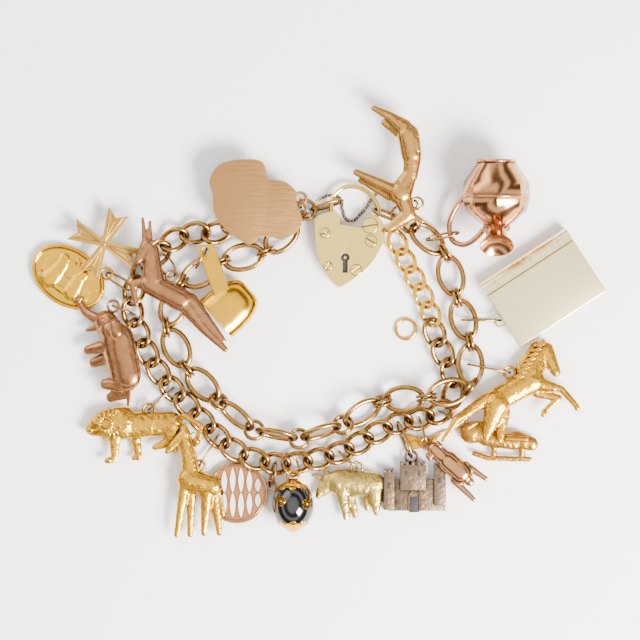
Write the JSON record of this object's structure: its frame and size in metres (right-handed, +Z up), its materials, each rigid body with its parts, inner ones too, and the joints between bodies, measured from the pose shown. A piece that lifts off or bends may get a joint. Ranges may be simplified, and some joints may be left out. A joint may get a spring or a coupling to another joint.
{
  "type": "charm bracelet",
  "caption": "Vintage gold charm bracelet lying open on a table: an oval-link strand and a curb strand meet at a heart padlock clasp and carry cast animal, jug, book, bell, egg and medal charms",
  "frame": {"origin": "bottom centre of the bounding box, on the table the bracelet lies on", "axes": "+X along the longest extent, to the right seen from above; +Y towards the padlock; +Z up from the table"},
  "size_m": [0.1436, 0.1082, 0.017],
  "materials": {
    "antique_gold": "antique polish with dark recesses",
    "bright_gold": "bright yellow polish",
    "rose_gold": "polished rose gold",
    "pale_gold": "pale polished gold",
    "green_gold": "pale textured gold",
    "warm_gold": "polished gold",
    "old_gold": "worn gold",
    "matte_gold": "matte khaki gold",
    "brown_gold": "brushed brownish gold",
    "oxidised_gold": "oxidised rose gold",
    "black_enamel": "gloss black"
  },
  "bodies": {
    "bracelet": {"curb_chain_1": "antique_gold", "curb_chain_2": "antique_gold", "curb_chain_3": "antique_gold", "curb_chain_4": "antique_gold", "curb_chain_5": "antique_gold", "curb_chain_6": "antique_gold", "oval_chain_1": "antique_gold", "oval_chain_2": "antique_gold", "oval_chain_3": "antique_gold", "oval_chain_4": "antique_gold", "oval_chain_5": "antique_gold", "oval_chain_6": "antique_gold", "padlock_body": "pale_gold", "gathering_ring": "antique_gold", "curb_end_ring": "antique_gold", "clasp_link": "antique_gold", "end_link": "antique_gold", "safety_chain": "antique_gold", "flat_curb": "bright_gold", "loose_ring": "bright_gold", "lion": "bright_gold", "giraffe": "bright_gold", "bull": "green_gold", "horse": "bright_gold", "elephant": "rose_gold", "antelope": "rose_gold", "hound": "warm_gold", "horned_hand": "rose_gold", "sleigh": "old_gold", "jug": "rose_gold", "book": "pale_gold", "medal": "bright_gold", "maltese_cross": "matte_gold", "plaque": "brown_gold", "cowbell": "bright_gold", "egg": "black_enamel", "egg_cap_top": "bright_gold", "egg_cap_bottom": "bright_gold", "enamel_disc": "rose_gold", "castle": "oxidised_gold", "leaf": "bright_gold", "lion_ring": "antique_gold", "giraffe_ring": "antique_gold", "bull_ring": "antique_gold", "horse_ring": "antique_gold", "elephant_ring": "antique_gold", "antelope_ring": "antique_gold", "hound_ring": "antique_gold", "horned_hand_ring": "antique_gold", "sleigh_ring": "antique_gold", "jug_ring": "antique_gold", "book_ring": "antique_gold", "medal_ring": "antique_gold", "maltese_cross_ring": "antique_gold", "plaque_ring": "antique_gold", "cowbell_ring": "antique_gold", "egg_cap_top_ring": "antique_gold", "enamel_disc_ring": "antique_gold", "castle_ring": "antique_gold"},
    "shackle": {"padlock_shackle": "pale_gold"}
  },
  "joints": [
    {"name": "padlock_open", "type": "hinge", "parent": "bracelet", "child": "shackle", "pos_m": [0.01278, 0.02405, 0.00205], "axis": [0, 0, -1], "range_deg": [0, 15]}
  ]
}
